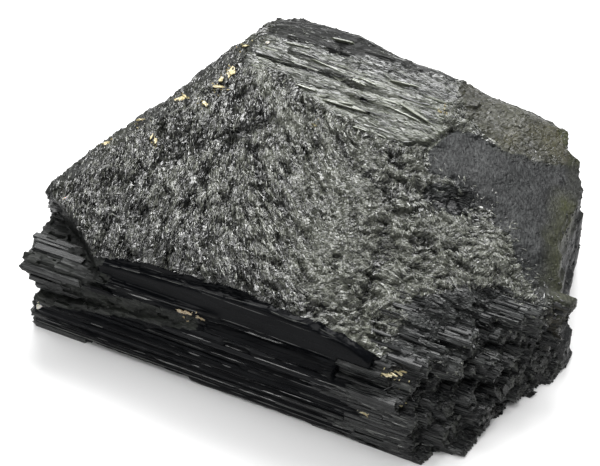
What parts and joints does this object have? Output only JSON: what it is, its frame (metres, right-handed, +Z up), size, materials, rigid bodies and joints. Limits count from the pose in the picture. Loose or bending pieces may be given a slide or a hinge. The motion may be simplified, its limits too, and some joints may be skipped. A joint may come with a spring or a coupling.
{
  "type": "tourmaline crystal",
  "caption": "Broken length of a thick black tourmaline crystal, for display: ribbed prism faces, splintered ends and a rough break on top, lying on a flat ribbed face.",
  "frame": {"origin": "centre of the crystal's box in plan, on the surface it lies on", "axes": "+X along the crystal's axis and its ribs, towards the splintered right end; +Y towards the back; +Z up out of the rough top"},
  "size_m": [0.0902, 0.0686, 0.0281],
  "materials": {
    "tourmaline": "dull glassy black, rough and sparkling where it broke"
  },
  "bodies": {
    "root": {"tourmaline_crystal": "tourmaline"}
  },
  "joints": []
}
